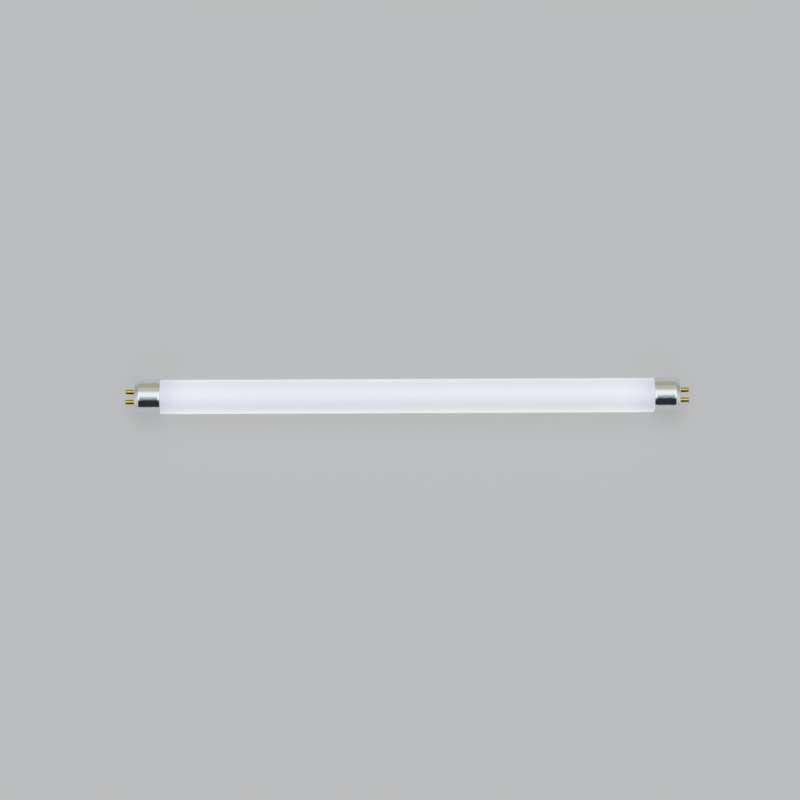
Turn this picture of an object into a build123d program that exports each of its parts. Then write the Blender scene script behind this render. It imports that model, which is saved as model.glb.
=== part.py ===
import os

from build123d import *

# Tube light: a sealed milky glass tube with a two-pin metal cap on each end.
# X runs along the tube, the two pins of a cap stand side by side along Y, and Z is up.
# The origin is the middle of the tube, on its axis. Sizes are in millimetres.

# Glass tube
glass_diameter = 15.5
glass_wall = 0.8
glass_seen_length = 223.4
neck_depth = 0.3
neck_run = 0.4
neck_length = 7.6
glass_end_bevel = 2.0

# Drawn metal cap
cap_length = 11.6
cap_wall = 0.2
skirt_stand_out = 0.2
lip_run = 0.75
lip_gap = 0.05
groove_to_end = 1.25
groove_depth = 0.2
shoulder_run = 0.5
rim_foot_run = 0.25
rim_drop = 0.25
rim_rounding = 0.7
rim_corner_cut = 0.2
opening_diameter = 10.4

# Insulating disc
disc_thickness = 0.7
disc_gap = 0.05

# Contact pins
pin_spacing = 4.75
pin_diameter = 2.1
pin_length = 4.2
pin_tip_bevel = 0.2
shank_diameter = 1.5
shank_gap = 0.02
head_diameter = 2.6
head_thickness = 0.4
crimp_to_tip = 0.4
crimp_length = 1.2
crimp_depth = 0.2

# Capping cement and lead wires
cement_setback = 1.1
cement_length = 4.2
cement_gap = 0.02
lead_diameter = 0.5

# Places along the right-hand end
cap_edge = glass_seen_length / 2
cap_face = cap_edge + cap_length
glass_end = cap_edge + neck_length
skirt_start = cap_edge + lip_run
groove_bottom = cap_face - groove_to_end
skirt_end = groove_bottom - shoulder_run
rim_start = groove_bottom + rim_foot_run
disc_outer_face = cap_face - cap_wall
disc_inner_face = disc_outer_face - disc_thickness
head_end = disc_inner_face - head_thickness
pin_tip = cap_face + pin_length
crimp_middle = pin_tip - crimp_to_tip - crimp_length / 2
cement_start = cap_edge + cement_setback

# Radii about the tube's axis
glass_radius = glass_diameter / 2
neck_radius = glass_radius - neck_depth
lip_radius = neck_radius + lip_gap + cap_wall
skirt_radius = glass_radius + skirt_stand_out
rim_radius = skirt_radius - rim_drop
groove_radius = rim_radius - groove_depth
opening_radius = opening_diameter / 2
disc_radius = rim_radius - cap_wall - disc_gap
cement_radius = skirt_radius - cap_wall - cement_gap

# Radii about a pin's axis, and the nose of the crimping tool
pin_radius = pin_diameter / 2
shank_radius = shank_diameter / 2
head_radius = head_diameter / 2
crimp_radius = (crimp_length**2 / 4 + crimp_depth**2) / (2 * crimp_depth)
crimp_reach = pin_radius - crimp_depth + crimp_radius

pin_offset = pin_spacing / 2
pin_plane = Plane(origin=(0, pin_offset, 0), x_dir=(1, 0, 0), z_dir=(0, 0, 1))
pin_axis = Axis((0, pin_offset, 0), (1, 0, 0))


# Closed section of a wall: the outer line, and the same line moved to its right by the wall
def sheet_section(outer_line, wall):
    corners = [Vector(*corner) for corner in outer_line]
    directions = [(end - start).normalized() for start, end in zip(corners, corners[1:])]
    normals = [direction.rotate(Axis.Z, -90) for direction in directions]
    inner_line = []
    for corner, before, after in zip(corners, normals[:1] + normals, normals + normals[-1:]):
        inner_line.append(corner + (before + after) * (wall / (1 + before.dot(after))))
    return corners + inner_line[::-1]


# Glass tube: half of its wall, mirrored and turned about the axis into one sealed body
glass_line = [
    (0, glass_radius),
    (cap_edge - neck_run, glass_radius),
    (cap_edge, neck_radius),
    (glass_end - glass_end_bevel, neck_radius),
    (glass_end, neck_radius - glass_end_bevel),
    (glass_end, 0),
]
with BuildPart() as glass_tube:
    with BuildSketch(Plane.XY):
        with BuildLine():
            Polyline(*sheet_section(glass_line, glass_wall), close=True)
        make_face()
        mirror(about=Plane.YZ)
    revolve(axis=Axis.X)

# Cap: drawn sheet with a rolled-in lip, a groove, a rounded rim and a flange, turned about the axis
cap_line = [
    (cap_edge, lip_radius),
    (skirt_start, skirt_radius),
    (skirt_end, skirt_radius),
    (groove_bottom, groove_radius),
    (rim_start, rim_radius),
    (cap_face - rim_rounding, rim_radius),
    (cap_face - rim_corner_cut, rim_radius - rim_corner_cut),
    (cap_face, rim_radius - rim_rounding),
    (cap_face, opening_radius),
]
with BuildPart() as cap:
    with BuildSketch(Plane.XY):
        with BuildLine():
            Polyline(*sheet_section(cap_line, cap_wall), close=True)
        make_face()
    revolve(axis=Axis.X)

# Cement ring: bonds the glass neck into the cap's bore
with BuildPart() as cement:
    with BuildSketch(Plane.YZ.offset(cement_start)):
        Circle(cement_radius)
        Circle(neck_radius, mode=Mode.SUBTRACT)
    extrude(amount=cement_length)

# Insulating disc: held between the rolled groove and the flange, and pierced for the pins
with BuildPart() as insulator:
    with BuildSketch(Plane.YZ.offset(disc_inner_face)):
        Circle(disc_radius)
    extrude(amount=disc_thickness)
    chamfer(insulator.edges().sort_by(Axis.X)[-1], length=rim_rounding - cap_wall)
    with BuildSketch(Plane.YZ.offset(disc_inner_face)):
        with GridLocations(pin_spacing, 0, 2, 1):
            Circle(shank_radius + shank_gap)
    extrude(amount=disc_thickness, mode=Mode.SUBTRACT)

# Rear pin: a turned rivet that grips the disc, pinched near its tip from both sides
with BuildPart() as rear_pin:
    with BuildSketch(pin_plane):
        with BuildLine():
            Polyline(
                (head_end, 0),
                (head_end, head_radius),
                (disc_inner_face, head_radius),
                (disc_inner_face, shank_radius),
                (disc_outer_face, shank_radius),
                (disc_outer_face, pin_radius),
                (pin_tip - pin_tip_bevel, pin_radius),
                (pin_tip, pin_radius - pin_tip_bevel),
                (pin_tip, 0),
                close=True,
            )
        make_face()
    revolve(axis=pin_axis)
    with BuildSketch(pin_plane):
        with Locations((crimp_middle, crimp_reach), (crimp_middle, -crimp_reach)):
            Circle(crimp_radius)
    extrude(amount=pin_radius, both=True, mode=Mode.SUBTRACT)

# Rear lead wire: runs from the closed glass end to the pin's riveted head
with BuildPart() as rear_lead:
    with BuildSketch(Plane.YZ.offset(glass_end)):
        with Locations((pin_offset, 0)):
            Circle(lead_diameter / 2)
    extrude(amount=head_end - glass_end)

with BuildPart() as front_pin:
    mirror(rear_pin.part, about=Plane.XZ)

with BuildPart() as front_lead:
    mirror(rear_lead.part, about=Plane.XZ)

# The left-hand end is the mirror image of the right-hand end
right_end = {
    "cap": cap,
    "cement": cement,
    "insulator": insulator,
    "front_pin": front_pin,
    "rear_pin": rear_pin,
    "front_lead": front_lead,
    "rear_lead": rear_lead,
}

os.makedirs("parts", exist_ok=True)
glass_tube.part.label = "glass_tube"
export_step(glass_tube.part, "parts/glass_tube.step")
for piece_name, right_piece in right_end.items():
    right_piece.part.label = f"right_{piece_name}"
    export_step(right_piece.part, f"parts/right_{piece_name}.step")
    with BuildPart() as left_piece:
        mirror(right_piece.part, about=Plane.YZ)
    left_piece.part.label = f"left_{piece_name}"
    export_step(left_piece.part, f"parts/left_{piece_name}.step")
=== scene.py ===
import math

import bmesh
import bpy
from mathutils import Matrix, Vector


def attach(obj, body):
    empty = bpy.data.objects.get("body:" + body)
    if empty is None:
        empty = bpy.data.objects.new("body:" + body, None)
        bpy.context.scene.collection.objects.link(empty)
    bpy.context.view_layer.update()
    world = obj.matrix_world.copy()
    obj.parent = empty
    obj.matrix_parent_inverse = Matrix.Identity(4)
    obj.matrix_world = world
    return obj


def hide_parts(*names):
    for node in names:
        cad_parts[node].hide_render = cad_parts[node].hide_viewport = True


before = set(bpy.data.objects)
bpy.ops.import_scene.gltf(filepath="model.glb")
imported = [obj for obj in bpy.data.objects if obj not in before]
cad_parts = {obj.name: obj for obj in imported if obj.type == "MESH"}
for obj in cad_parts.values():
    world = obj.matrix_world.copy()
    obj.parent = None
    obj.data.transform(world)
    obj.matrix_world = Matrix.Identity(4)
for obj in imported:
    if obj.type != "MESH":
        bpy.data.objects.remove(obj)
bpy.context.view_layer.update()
mm = 0.001  # everything below is written in millimetres and built in metres
arcStep = 8  # degrees between two points of a rounding
print("frame loaded:", len(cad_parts), "CAD nodes")


# small helpers

def linear(hexCode):  # sRGB hex to the linear colour that nodes take
    values = [int(hexCode[i:i + 2], 16) / 255 for i in (1, 3, 5)]
    return [v / 12.92 if v <= 0.04045 else ((v + 0.055) / 1.055) ** 2.4 for v in values] + [1.0]


def addNode(tree, kind, settings=None, links=None):
    node = tree.nodes.new(kind)
    for key, value in (settings or {}).items():
        if key == "stops":  # colour ramp: (place, hex)
            ramp = node.color_ramp.elements
            while len(ramp) < len(value):
                ramp.new(1.0)
            for element, (place, hexCode) in zip(ramp, value):
                element.position = place
                element.color = linear(hexCode)
        elif isinstance(key, int) or key in node.inputs:
            node.inputs[key].default_value = value
        else:
            setattr(node, key, value)
    for key, source in (links or {}).items():
        tree.links.new(source, node.inputs[key])
    return node


def startMaterial(name):
    material = bpy.data.materials.new(name)
    material.use_nodes = True
    material.node_tree.nodes.clear()
    return material, material.node_tree


def roundedLine(corners, closed=False):  # corners are (along, radius, rounding)
    points = []
    count = len(corners)
    for i, (along, radius, rounding) in enumerate(corners):
        here = Vector((along, radius))
        if rounding == 0 or (not closed and i in (0, count - 1)):
            points.append(here)
            continue
        toBack = (Vector(corners[i - 1][:2]) - here).normalized()
        toNext = (Vector(corners[(i + 1) % count][:2]) - here).normalized()
        half = toBack.angle(toNext) / 2
        centre = here + (toBack + toNext).normalized() * (rounding / math.sin(half))
        ray = here + toBack * (rounding / math.tan(half)) - centre
        turn = math.pi - 2 * half
        if toBack.cross(toNext) > 0:
            turn = -turn
        steps = max(3, math.ceil(abs(math.degrees(turn)) / arcStep))
        points += [centre + Matrix.Rotation(turn * k / steps, 2) @ ray for k in range(steps + 1)]
    return points


# extra points near the ends of straight runs, which keep them flat when shaded smooth
def withSupports(points, support, longest, closed=False):
    out = []
    ends = points[1:] + points[:1] if closed else points[1:]
    for start, end in zip(points, ends):
        out.append(start)
        run = (end - start).length
        if run > 3 * support:
            places = [support / run, 1 - support / run]
            extra = int(run / longest)
            places += [k / (extra + 1) for k in range(1, extra + 1)]
            out += [start.lerp(end, p) for p in sorted(places)]
    return out if closed else out + points[-1:]


def lathe(name, line, turns, axisY=0.0, closed=False):  # turns a line about the X axis or a parallel to it
    mesh = bpy.data.meshes.new(name)
    bm = bmesh.new()
    rings = []
    for along, radius in line:
        spots = [0] if radius < 1e-6 else range(turns)  # a point on the axis is one vertex
        ring = []
        for k in spots:
            angle = 2 * math.pi * k / turns
            across, height = axisY + radius * math.cos(angle), radius * math.sin(angle)
            ring.append(bm.verts.new((along * mm, across * mm, height * mm)))
        rings.append(ring)
    for first, second in zip(rings, rings[1:] + rings[:1] if closed else rings[1:]):
        for k in range(turns):
            nextK = (k + 1) % turns
            if len(first) == 1:
                bm.faces.new((first[0], second[k], second[nextK]))
            elif len(second) == 1:
                bm.faces.new((first[k], second[0], first[nextK]))
            else:
                bm.faces.new((first[k], second[k], second[nextK], first[nextK]))
    bmesh.ops.recalc_face_normals(bm, faces=bm.faces)
    for face in bm.faces:
        face.smooth = True
    bm.to_mesh(mesh)
    bm.free()
    piece = bpy.data.objects.new(name, mesh)
    bpy.context.scene.collection.objects.link(piece)
    return piece


def place(piece, node, material, slotName):
    piece.data.materials.append(material)
    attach(piece, "root")
    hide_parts(node)


# materials: pattern sizes and depths in millimetres

# soda glass drawn into tube, white powder coat inside: a glossy skin over a soft milky body that greys a
# little towards the caps; a lighter edge right beside them is painted light
def milkyDrawnGlass(halfLength):
    # the last stop, a lighter ring of glass right beside each cap, is painted light
    glass = {"tint": [(0.6, "#EBEDF3"), (0.88, "#EDEFF5"), (0.94, "#E7EAF2"),  # share of the way to the cap
                      (0.996, "#DADFEA"), (0.998, "#F6F7FA")],
             "mottle": 6.0, "mottleShare": 0.06, "roughness": (0.26, 0.34), "bodyIor": 1.45,
             "drawLine": 1.2, "lineStretch": 0.02, "lineStrength": 0.05, "lineDepth": 0.02,
             "skinShare": 0.4, "skinIor": 1.52, "skinRoughness": 0.03}
    material, tree = startMaterial("milkyDrawnGlass")
    spot = addNode(tree, "ShaderNodeTexCoord")
    split = addNode(tree, "ShaderNodeSeparateXYZ", links={0: spot.outputs["Object"]})
    fromMiddle = addNode(tree, "ShaderNodeMath", {"operation": "ABSOLUTE"}, {0: split.outputs["X"]})
    share = addNode(tree, "ShaderNodeMath", {"operation": "MULTIPLY", 1: 1 / (halfLength * mm)},
                    {0: fromMiddle.outputs[0]})
    tint = addNode(tree, "ShaderNodeValToRGB", {"stops": glass["tint"]}, {"Fac": share.outputs[0]})
    mottle = addNode(tree, "ShaderNodeTexNoise", {"Scale": 1 / (glass["mottle"] * mm), "Detail": 3.0},
                     {"Vector": spot.outputs["Object"]})
    coat = addNode(tree, "ShaderNodeMix",
                   {"data_type": "RGBA", "blend_type": "SOFT_LIGHT", 0: glass["mottleShare"]},
                   {6: tint.outputs["Color"], 7: mottle.outputs["Fac"]})
    stretch = addNode(tree, "ShaderNodeMapping", {"Scale": (glass["lineStretch"], 1.0, 1.0)},
                      {"Vector": spot.outputs["Object"]})
    drawLines = addNode(tree, "ShaderNodeTexNoise", {"Scale": 1 / (glass["drawLine"] * mm), "Detail": 2.0},
                        {"Vector": stretch.outputs["Vector"]})
    relief = addNode(tree, "ShaderNodeBump",
                     {"Strength": glass["lineStrength"], "Distance": glass["lineDepth"] * mm},
                     {"Height": drawLines.outputs["Fac"]})
    rough = addNode(tree, "ShaderNodeMapRange",
                    {"To Min": glass["roughness"][0], "To Max": glass["roughness"][1]},
                    {"Value": mottle.outputs["Fac"]})
    shader = addNode(tree, "ShaderNodeBsdfPrincipled",
                     {"IOR": glass["bodyIor"], "Specular IOR Level": 0.0, "Coat Weight": glass["skinShare"],
                      "Coat IOR": glass["skinIor"], "Coat Roughness": glass["skinRoughness"]},
                     {"Base Color": coat.outputs[2], "Roughness": rough.outputs["Result"],
                      "Coat Normal": relief.outputs["Normal"]})
    addNode(tree, "ShaderNodeOutputMaterial", links={"Surface": shader.outputs[0]})
    return material


# bright aluminium sheet drawn into a cup: mirror-like, softened by draw marks and by small dents from
# handling; real draw marks are finer than a pixel, so they are drawn coarser
def drawnAluminium():
    metal = {"colour": "#F0F4F6", "roughness": (0.06, 0.14), "drawMark": 0.25, "markStretch": 0.06,
             "markStrength": 0.12, "markDepth": 0.01, "dent": 1.2, "dentStrength": 0.6, "dentDepth": 0.08}
    material, tree = startMaterial("drawnAluminium")
    spot = addNode(tree, "ShaderNodeTexCoord")
    stretch = addNode(tree, "ShaderNodeMapping", {"Scale": (metal["markStretch"], 1.0, 1.0)},
                      {"Vector": spot.outputs["Object"]})
    drawMarks = addNode(tree, "ShaderNodeTexNoise", {"Scale": 1 / (metal["drawMark"] * mm), "Detail": 2.0},
                        {"Vector": stretch.outputs["Vector"]})
    dents = addNode(tree, "ShaderNodeTexNoise", {"Scale": 1 / (metal["dent"] * mm), "Detail": 3.0},
                    {"Vector": spot.outputs["Object"]})
    fine = addNode(tree, "ShaderNodeBump",
                   {"Strength": metal["markStrength"], "Distance": metal["markDepth"] * mm},
                   {"Height": drawMarks.outputs["Fac"]})
    relief = addNode(tree, "ShaderNodeBump",
                     {"Strength": metal["dentStrength"], "Distance": metal["dentDepth"] * mm},
                     {"Height": dents.outputs["Fac"], "Normal": fine.outputs["Normal"]})
    rough = addNode(tree, "ShaderNodeMapRange",
                    {"To Min": metal["roughness"][0], "To Max": metal["roughness"][1]},
                    {"Value": dents.outputs["Fac"]})
    shader = addNode(tree, "ShaderNodeBsdfPrincipled",
                     {"Base Color": linear(metal["colour"]), "Metallic": 1.0},
                     {"Roughness": rough.outputs["Result"], "Normal": relief.outputs["Normal"]})
    addNode(tree, "ShaderNodeOutputMaterial", links={"Surface": shader.outputs[0]})
    return material


# yellow brass wire, turned and riveted: a warm mirror with a little tarnish, with painted shade browning
# both sides of each pin; real turning lines are finer than a pixel, so they are drawn coarser
def drawnBrass(spacing):
    brass = {"tarnish": [(0.3, "#D6B03C"), (0.5, "#FAE45A")], "stain": 0.8, "roughness": (0.03, 0.09),
             "paintedShade": "#8C7340", "shadeBegin": 0.42, "shadeFull": 0.62, "shadeWander": 0.3,  # out from the axis
             "turningLine": 0.754, "lineWander": 1.5, "lineStrength": 0.02, "lineDepth": 0.01}
    waveLength = 2 * math.pi / 20  # of the wave texture at a scale of 1
    material, tree = startMaterial("drawnBrass")
    spot = addNode(tree, "ShaderNodeTexCoord")
    stain = addNode(tree, "ShaderNodeTexNoise", {"Scale": 1 / (brass["stain"] * mm), "Detail": 3.0},
                    {"Vector": spot.outputs["Object"]})
    colour = addNode(tree, "ShaderNodeValToRGB", {"stops": brass["tarnish"]}, {"Fac": stain.outputs["Fac"]})
    split = addNode(tree, "ShaderNodeSeparateXYZ", links={0: spot.outputs["Object"]})
    fromMiddle = addNode(tree, "ShaderNodeMath", {"operation": "ABSOLUTE"}, {0: split.outputs["Y"]})
    acrossPin = addNode(tree, "ShaderNodeMath", {"operation": "SUBTRACT", 1: spacing / 2 * mm},
                        {0: fromMiddle.outputs[0]})
    fromAxis = addNode(tree, "ShaderNodeMath", {"operation": "ABSOLUTE"}, {0: acrossPin.outputs[0]})
    # painted shade: from about 0.42 mm out from each pin's axis, its front and rear sides turn brown
    wandering = addNode(tree, "ShaderNodeMath", {"operation": "MULTIPLY_ADD", 1: brass["shadeWander"] * mm},
                        {0: stain.outputs["Fac"], 2: fromAxis.outputs[0]})
    paintedShade = addNode(tree, "ShaderNodeMapRange",
                     {"From Min": (brass["shadeBegin"] + brass["shadeWander"] / 2) * mm,
                      "From Max": (brass["shadeFull"] + brass["shadeWander"] / 2) * mm},
                     {"Value": wandering.outputs[0]})
    shadedBrass = addNode(tree, "ShaderNodeMix", {"data_type": "RGBA", 7: linear(brass["paintedShade"])},
                   {0: paintedShade.outputs["Result"], 6: colour.outputs["Color"]})
    turning = addNode(tree, "ShaderNodeTexWave",
                      {"bands_direction": "X", "Scale": waveLength / (brass["turningLine"] * mm),
                       "Distortion": brass["lineWander"], "Detail": 2.0}, {"Vector": spot.outputs["Object"]})
    relief = addNode(tree, "ShaderNodeBump",
                     {"Strength": brass["lineStrength"], "Distance": brass["lineDepth"] * mm},
                     {"Height": turning.outputs["Fac"]})
    rough = addNode(tree, "ShaderNodeMapRange",
                    {"To Min": brass["roughness"][0], "To Max": brass["roughness"][1]},
                    {"Value": stain.outputs["Fac"]})
    shader = addNode(tree, "ShaderNodeBsdfPrincipled", {"Metallic": 1.0},
                     {"Base Color": shadedBrass.outputs[2], "Roughness": rough.outputs["Result"],
                      "Normal": relief.outputs["Normal"]})
    addNode(tree, "ShaderNodeOutputMaterial", links={"Surface": shader.outputs[0]})
    return material


# pressed phenolic board: brown and semi-matt, with a filler grain that is drawn coarser than the real one
def mouldedPhenolic():
    board = {"colours": [(0.35, "#8A7052"), (0.65, "#A58A68")], "ior": 1.55, "roughness": (0.42, 0.6),
             "grain": 0.3, "grainStrength": 0.15, "grainDepth": 0.02}
    material, tree = startMaterial("mouldedPhenolic")
    spot = addNode(tree, "ShaderNodeTexCoord")
    grain = addNode(tree, "ShaderNodeTexNoise", {"Scale": 1 / (board["grain"] * mm), "Detail": 4.0},
                    {"Vector": spot.outputs["Object"]})
    colour = addNode(tree, "ShaderNodeValToRGB", {"stops": board["colours"]}, {"Fac": grain.outputs["Fac"]})
    relief = addNode(tree, "ShaderNodeBump",
                     {"Strength": board["grainStrength"], "Distance": board["grainDepth"] * mm},
                     {"Height": grain.outputs["Fac"]})
    rough = addNode(tree, "ShaderNodeMapRange",
                    {"To Min": board["roughness"][0], "To Max": board["roughness"][1]},
                    {"Value": grain.outputs["Fac"]})
    shader = addNode(tree, "ShaderNodeBsdfPrincipled", {"IOR": board["ior"]},
                     {"Base Color": colour.outputs["Color"], "Roughness": rough.outputs["Result"],
                      "Normal": relief.outputs["Normal"]})
    addNode(tree, "ShaderNodeOutputMaterial", links={"Surface": shader.outputs[0]})
    return material


def firedCement():  # capping cement baked hard: dull, sandy and buff
    cement = {"colours": [(0.35, "#A69A84"), (0.65, "#C6BAA2")], "ior": 1.5, "roughness": 0.9,
              "grit": 0.2, "gritStrength": 0.4, "gritDepth": 0.05}
    material, tree = startMaterial("firedCement")
    spot = addNode(tree, "ShaderNodeTexCoord")
    grit = addNode(tree, "ShaderNodeTexNoise", {"Scale": 1 / (cement["grit"] * mm), "Detail": 4.0},
                   {"Vector": spot.outputs["Object"]})
    colour = addNode(tree, "ShaderNodeValToRGB", {"stops": cement["colours"]}, {"Fac": grit.outputs["Fac"]})
    relief = addNode(tree, "ShaderNodeBump",
                     {"Strength": cement["gritStrength"], "Distance": cement["gritDepth"] * mm},
                     {"Height": grit.outputs["Fac"]})
    shader = addNode(tree, "ShaderNodeBsdfPrincipled",
                     {"IOR": cement["ior"], "Roughness": cement["roughness"]},
                     {"Base Color": colour.outputs["Color"], "Normal": relief.outputs["Normal"]})
    addNode(tree, "ShaderNodeOutputMaterial", links={"Surface": shader.outputs[0]})
    return material


def nickelWire():  # nickel-plated lead wire: soft grey metal with lines from the drawing die
    wire = {"colours": [(0.35, "#B4B0A8"), (0.65, "#D2CFC8")], "roughness": 0.3,
            "dieLine": 0.1, "lineStretch": 0.05, "lineStrength": 0.1, "lineDepth": 0.01}
    material, tree = startMaterial("nickelWire")
    spot = addNode(tree, "ShaderNodeTexCoord")
    stretch = addNode(tree, "ShaderNodeMapping", {"Scale": (wire["lineStretch"], 1.0, 1.0)},
                      {"Vector": spot.outputs["Object"]})
    dieLines = addNode(tree, "ShaderNodeTexNoise", {"Scale": 1 / (wire["dieLine"] * mm)},
                       {"Vector": stretch.outputs["Vector"]})
    colour = addNode(tree, "ShaderNodeValToRGB", {"stops": wire["colours"]},
                     {"Fac": dieLines.outputs["Fac"]})
    relief = addNode(tree, "ShaderNodeBump",
                     {"Strength": wire["lineStrength"], "Distance": wire["lineDepth"] * mm},
                     {"Height": dieLines.outputs["Fac"]})
    shader = addNode(tree, "ShaderNodeBsdfPrincipled", {"Metallic": 1.0, "Roughness": wire["roughness"]},
                     {"Base Color": colour.outputs["Color"], "Normal": relief.outputs["Normal"]})
    addNode(tree, "ShaderNodeOutputMaterial", links={"Surface": shader.outputs[0]})
    return material


# glass tube: a fine lathed skin in place of the faceted solid
tube = {"radius": 7.75, "neckRadius": 7.45, "neckRun": 0.25, "seenLength": 223.4, "neckLength": 7.6,
        "neckRounding": 0.2, "endRounding": 2.4, "turns": 160, "support": 0.2, "longestRun": 8.0}
capEdge = tube["seenLength"] / 2
glassEnd = capEdge + tube["neckLength"]
halfTube = [(capEdge - tube["neckRun"], tube["radius"], tube["neckRounding"]),
            (capEdge, tube["neckRadius"], tube["neckRounding"]),
            (glassEnd, tube["neckRadius"], tube["endRounding"]),
            (glassEnd, 0.0, 0.0)]
tubeCorners = [(-along, radius, rounding) for along, radius, rounding in reversed(halfTube)] + halfTube
tubeLine = withSupports(roundedLine(tubeCorners), tube["support"], tube["longestRun"])
glassTube = lathe("glassTube", tubeLine, tube["turns"])
place(glassTube, "glass_tube", milkyDrawnGlass(capEdge), "milky_glass")
print("glass tube made")

# caps: drawn sheet with its roundings, from the lip at the glass to the flange round the disc
cap = {"length": 11.6, "wall": 0.2, "lipRadius": 7.7, "flareRun": 1.15, "skirtRadius": 7.95,
       "rollOffRun": 1.4, "shoulderRun": 0.5, "shoulderRadius": 7.84, "grooveToEnd": 1.25,
       "grooveRadius": 7.5, "rimFootRun": 0.25, "rimRadius": 7.7, "rimEndRun": 0.4, "rimEndRadius": 7.45,
       "faceRadius": 6.95, "openingRadius": 5.2, "edgeRounding": 0.06, "skirtRounding": 5.0,
       "shoulderRounding": 1.2, "grooveRounding": 0.1, "rimRounding": 1.5, "faceRounding": 0.6,
       "innerRounding": 0.6, "turns": 160, "support": 0.05, "longestRun": 1.0}
capLook = drawnAluminium()
capFace = capEdge + cap["length"]
groove = capFace - cap["grooveToEnd"]
shoulder = groove - cap["shoulderRun"]
rimStart = groove + cap["rimFootRun"]
capCorners = [
    (capEdge, cap["lipRadius"], cap["edgeRounding"]),
    (capEdge + cap["flareRun"], cap["skirtRadius"], cap["skirtRounding"]),
    (groove - cap["rollOffRun"], cap["skirtRadius"], cap["skirtRounding"]),
    (shoulder, cap["shoulderRadius"], cap["shoulderRounding"]),
    (groove, cap["grooveRadius"], cap["grooveRounding"]),
    (rimStart, cap["rimRadius"], cap["grooveRounding"]),
    (capFace - cap["rimEndRun"], cap["rimEndRadius"], cap["rimRounding"]),
    (capFace, cap["faceRadius"], cap["faceRounding"]),
    (capFace, cap["openingRadius"], cap["edgeRounding"]),
    (capFace - cap["wall"], cap["openingRadius"], cap["edgeRounding"]),
    (capFace - cap["wall"], cap["rimRadius"] - cap["wall"], cap["innerRounding"]),
    (rimStart, cap["rimRadius"] - cap["wall"], cap["grooveRounding"]),
    (groove, cap["grooveRadius"] - cap["wall"], cap["grooveRounding"]),
    (shoulder - cap["wall"], cap["shoulderRadius"] - cap["wall"], cap["grooveRounding"]),
    (groove - cap["rollOffRun"], cap["skirtRadius"] - cap["wall"], cap["grooveRounding"]),
    (capEdge + cap["flareRun"], cap["skirtRadius"] - cap["wall"], cap["grooveRounding"]),
    (capEdge + cap["edgeRounding"], cap["lipRadius"] - cap["wall"], cap["edgeRounding"]),
]
for side, sign in (("left", -1), ("right", 1)):
    corners = [(sign * along, radius, rounding) for along, radius, rounding in capCorners]
    capLine = withSupports(roundedLine(corners, True), cap["support"], cap["longestRun"], True)
    piece = lathe(side + "Cap", capLine, cap["turns"], closed=True)
    place(piece, side + "_cap", capLook, "cap_metal")
print("caps made")

# pins: riveted brass, pinched from both sides near the rounded tip
pin = {"spacing": 4.75, "length": 4.2, "radius": 1.05, "tipRounding": 0.4, "discThickness": 0.7,
       "shankRadius": 0.75, "headRadius": 1.3, "headThickness": 0.4, "edgeRounding": 0.06, "crimpToTip": 0.4,
       "crimpLength": 1.2, "crimpDepth": 0.2, "turns": 72, "support": 0.04, "longestRun": 0.08}
pinLook = drawnBrass(pin["spacing"])
discOuter = capFace - cap["wall"]
discInner = discOuter - pin["discThickness"]
headEnd = discInner - pin["headThickness"]
pinTip = capFace + pin["length"]
crimpMiddle = pinTip - pin["crimpToTip"] - pin["crimpLength"] / 2
noseRadius = (pin["crimpLength"] ** 2 / 4 + pin["crimpDepth"] ** 2) / (2 * pin["crimpDepth"])
pinCorners = [
    (headEnd, 0.0, 0.0),
    (headEnd, pin["headRadius"], pin["edgeRounding"]),
    (discInner, pin["headRadius"], pin["edgeRounding"]),
    (discInner, pin["shankRadius"], 0.0),
    (discOuter, pin["shankRadius"], 0.0),
    (discOuter, pin["radius"], pin["edgeRounding"]),
    (pinTip, pin["radius"], pin["tipRounding"]),
    (pinTip, 0.0, 0.0),
]
for side, sign in (("left", -1), ("right", 1)):
    for row, offset in (("front", -pin["spacing"] / 2), ("rear", pin["spacing"] / 2)):
        corners = [(sign * along, radius, rounding) for along, radius, rounding in pinCorners]
        pinLine = withSupports(roundedLine(corners), pin["support"], pin["longestRun"])
        piece = lathe(side + row.capitalize() + "Pin", pinLine, pin["turns"], offset)
        for vertex in piece.data.vertices:  # the pinch: a tool's round nose presses in from both sides
            fromCrimp = abs(vertex.co.x) / mm - crimpMiddle
            if abs(fromCrimp) < pin["crimpLength"] / 2:
                noseDrop = noseRadius - math.sqrt(noseRadius ** 2 - fromCrimp ** 2)
                limit = pin["radius"] - pin["crimpDepth"] + noseDrop
                out = vertex.co.y / mm - offset
                vertex.co.y = (offset + max(-limit, min(limit, out))) * mm
        place(piece, side + "_" + row + "_pin", pinLook, "pin_brass")
print("pins made")

# what the caps hold keeps its CAD form
innerLooks = {"insulator": mouldedPhenolic(), "cement": firedCement(), "lead": nickelWire()}
for name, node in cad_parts.items():
    for ending, look in innerLooks.items():
        if name.endswith(ending):
            node.data.materials.clear()
            node.data.materials.append(look)
print("inner pieces dressed")

# studio: pale floor, a soft sky with a dark front and a warm back, and four broad lamps
studio = {"floor": "#BDBEBF", "floorTop": -7.95, "floorHalf": 40000.0, "fibre": 0.8, "fibreStrength": 0.02,
          "fibreDepth": 0.05, "glow": 0.7}  # glow is the share of the floor's colour that takes no shadow
floorMesh = bpy.data.meshes.new("floor")
half = studio["floorHalf"] * mm
floorMesh.from_pydata([(-half, -half, 0), (half, -half, 0), (half, half, 0), (-half, half, 0)], [],
                      [(0, 1, 2, 3)])
floor = bpy.data.objects.new("floor", floorMesh)
floor.location.z = studio["floorTop"] * mm
bpy.context.scene.collection.objects.link(floor)
paper, tree = startMaterial("mattePaper")  # plain grey studio paper: no gloss, hardly any grain
spot = addNode(tree, "ShaderNodeTexCoord")
fibre = addNode(tree, "ShaderNodeTexNoise", {"Scale": 1 / (studio["fibre"] * mm)},
                {"Vector": spot.outputs["Object"]})
relief = addNode(tree, "ShaderNodeBump",
                 {"Strength": studio["fibreStrength"], "Distance": studio["fibreDepth"] * mm},
                 {"Height": fibre.outputs["Fac"]})
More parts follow.
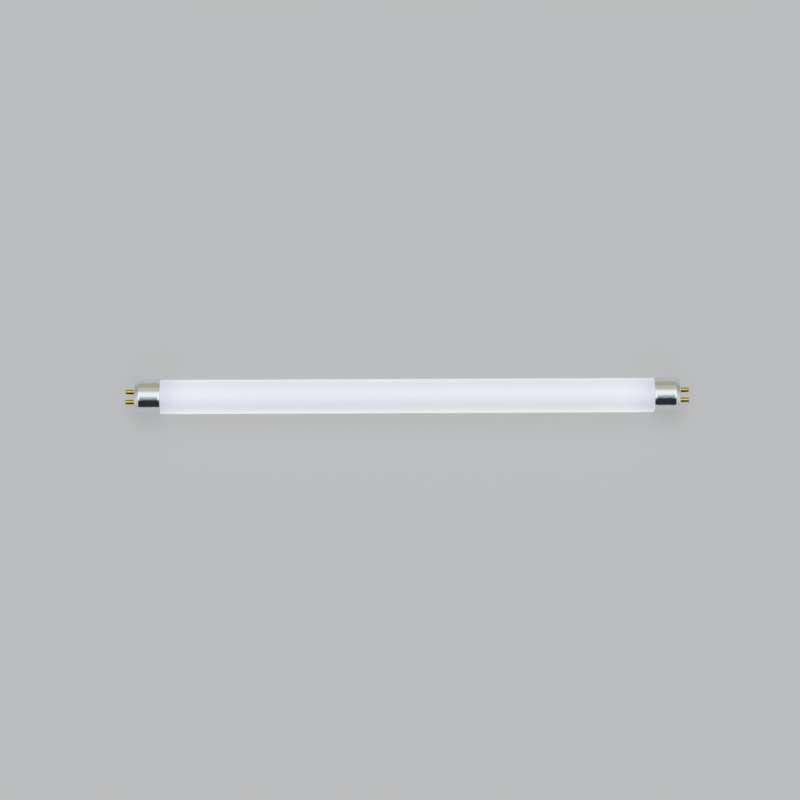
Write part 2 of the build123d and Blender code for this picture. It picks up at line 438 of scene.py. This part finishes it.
shader = addNode(tree, "ShaderNodeBsdfDiffuse", {"Color": linear(studio["floor"])},
                 {"Normal": relief.outputs["Normal"]})
glow = addNode(tree, "ShaderNodeEmission", {"Color": linear(studio["floor"])})  # keeps the shadow faint
ray = addNode(tree, "ShaderNodeLightPath")
seen = addNode(tree, "ShaderNodeMath", {"operation": "MAXIMUM"},
               {0: ray.outputs["Is Camera Ray"], 1: ray.outputs["Is Glossy Ray"]})
seenOrThrough = addNode(tree, "ShaderNodeMath", {"operation": "MAXIMUM"},
                        {0: seen.outputs[0], 1: ray.outputs["Is Transmission Ray"]})
glowShare = addNode(tree, "ShaderNodeMath", {"operation": "MULTIPLY", 1: studio["glow"]},
                    {0: seenOrThrough.outputs[0]})
mixed = addNode(tree, "ShaderNodeMixShader",
                links={0: glowShare.outputs[0], 1: shader.outputs[0], 2: glow.outputs[0]})
addNode(tree, "ShaderNodeOutputMaterial", links={"Surface": mixed.outputs[0]})
floorMesh.materials.append(paper)

# sky: four rows side by side, each with degrees from the front horizon over the zenith to the back horizon
# and its colour there. The rows narrow away from the upright height, so that their ends look upright in the
# metal. Between the two begins values, sines of a height, they take over from the horizon's colour
sky = {"horizon": "#BDBEBF", "begins": (0.0605, 0.066), "upright": 73.0,
       "middle": [(0, "#2C2E34"), (50, "#2C2E34"), (57, "#8A8B8E"), (66, "#ACB8BE"), (72, "#C4D2D7"),
                  (76, "#F5F8F8"), (98, "#F8F9F7"), (105, "#E1E6E5"), (112, "#C8CCC8"), (119, "#BEBBB1"),
                  (127, "#C2BBA7"), (134, "#C8BFA6"), (142, "#A6A49A"), (152, "#A6A49A"), (156, "#B0A793"),
                  (180, "#B0A793")],
       "flank": [(0, "#2C2E34"), (43, "#2C2E34"), (49, "#8C9AA2"), (53, "#C2D2DA"), (59, "#FFFFFF"),
                 (99, "#FFFFFF"), (106, "#E8ECEA"), (112, "#CED0CA"), (120, "#C8C2AE"), (138, "#BDB7A4"),
                 (142, "#A8A69C"), (180, "#AAA698")],
       "window": [(0, "#B4BCC2"), (30, "#BAC6CE"), (60, "#D8E2E8"), (80, "#F0F4F4"), (104, "#D8DAD4"),
                  (115, "#B0B0A6"), (150, "#A0A49E"), (180, "#B0B4B4")],
       "side": [(0, "#E8DCD0"), (40, "#E2D6C8"), (75, "#CECABE"), (100, "#B0B0A6"), (120, "#9CA098"),
                (150, "#989C94"), (180, "#A8AAA6")],
       "reach": {"flank": (0.16, 0.3), "window": (0.42, 0.5), "side": (0.6, 0.7)}}  # how far out rows begin
world = bpy.data.worlds.new("studioSky")
bpy.context.scene.world = world
world.use_nodes = True
tree = world.node_tree
tree.nodes.clear()
gaze = addNode(tree, "ShaderNodeTexCoord")
split = addNode(tree, "ShaderNodeSeparateXYZ", links={0: gaze.outputs["Generated"]})
frontward = addNode(tree, "ShaderNodeMath", {"operation": "MULTIPLY", 1: -1.0}, {0: split.outputs["Y"]})
over = addNode(tree, "ShaderNodeMath", {"operation": "ARCTAN2"},
               {0: split.outputs["Z"], 1: frontward.outputs[0]})
share = addNode(tree, "ShaderNodeMath", {"operation": "DIVIDE", 1: math.pi}, {0: over.outputs[0]})
offAxis = addNode(tree, "ShaderNodeMath", {"operation": "ABSOLUTE"}, {0: split.outputs["X"]})
fromUpright = addNode(tree, "ShaderNodeMath",
                      {"operation": "MULTIPLY_ADD", 1: 0.5, 2: -math.radians(sky["upright"]) / 2},
                      {0: over.outputs[0]})
narrowing = addNode(tree, "ShaderNodeMath", {"operation": "COSINE"}, {0: fromUpright.outputs[0]})
sideways = addNode(tree, "ShaderNodeMath", {"operation": "DIVIDE"},
                   {0: offAxis.outputs[0], 1: narrowing.outputs[0]})
rows = {}
for name in ("middle", "flank", "window", "side"):
    stops = [(degree / 180, code) for degree, code in sky[name]]
    colours = addNode(tree, "ShaderNodeValToRGB", {"stops": stops}, {"Fac": share.outputs[0]})
    rows[name] = colours.outputs["Color"]
whole = rows["middle"]
for name, (begin, full) in sky["reach"].items():
    reach = addNode(tree, "ShaderNodeMapRange",
                    {"interpolation_type": "SMOOTHSTEP", "From Min": begin, "From Max": full},
                    {"Value": sideways.outputs[0]})
    whole = addNode(tree, "ShaderNodeMix", {"data_type": "RGBA"},
                    {0: reach.outputs["Result"], 6: whole, 7: rows[name]}).outputs[2]
begin, full = sky["begins"]
above = addNode(tree, "ShaderNodeMapRange",
                {"interpolation_type": "SMOOTHSTEP", "From Min": begin, "From Max": full},
                {"Value": split.outputs["Z"]})
whole = addNode(tree, "ShaderNodeMix", {"data_type": "RGBA", 6: linear(sky["horizon"])},
                {0: above.outputs["Result"], 7: whole}).outputs[2]
background = addNode(tree, "ShaderNodeBackground", {"Strength": 1.0}, {"Color": whole})
addNode(tree, "ShaderNodeOutputWorld", links={"Surface": background.outputs[0]})

# lamps: level, height in degrees from the front horizon over the zenith, width in degrees and colour.
# The two below the horizon stand for light that a bright table sends up, so they pass the floor
lamps = {"frontLamp": (0.298, 27, 44, "#F5F6FF"), "backLamp": (0.377, 123, 44, "#F7F5FF"),
         "tableFront": (0.63, -50, 40, "#FFF5E1"), "tableBack": (0.54, 216, 30, "#FFFFF9")}
for name, (level, height, width, hexCode) in lamps.items():
    lamp = bpy.data.lights.new(name, "SUN")
    lamp.energy = level * math.pi
    lamp.angle = math.radians(width)
    lamp.color = linear(hexCode)[:3]
    lamp.use_shadow = 0 < height < 180
    lampObject = bpy.data.objects.new(name, lamp)
    direction = Vector((0, -math.cos(math.radians(height)), math.sin(math.radians(height))))
    lampObject.rotation_euler = direction.to_track_quat("Z", "Y").to_euler()
    lampObject.visible_glossy = False  # the metal shows the sky, not the lamps
    bpy.context.scene.collection.objects.link(lampObject)
print("studio made")

# camera: high in front, nearly overhead, at the photograph's angle
shot = {"azimuth": -0.25, "elevation": 73.0, "distance": 1600.0, "lens": 159.1, "right": 3.3, "up": 1.78,
        "farthest": 100000.0}
turn, rise = math.radians(shot["azimuth"]), math.radians(shot["elevation"])
back = Vector((math.sin(turn) * math.cos(rise), -math.cos(turn) * math.cos(rise), math.sin(rise)))
right = Vector((math.cos(turn), math.sin(turn), 0))
up = back.cross(right)
camera = bpy.data.objects.new("camera", bpy.data.cameras.new("camera"))
camera.data.lens = shot["lens"]
camera.data.clip_end = shot["farthest"] * mm
aim = -(right * shot["right"] + up * shot["up"]) * mm
camera.location = aim + back * shot["distance"] * mm
camera.rotation_euler = back.to_track_quat("Z", "Y").to_euler()
bpy.context.scene.collection.objects.link(camera)
bpy.context.scene.camera = camera
bpy.context.scene.view_settings.view_transform = "Standard"
print("camera placed")
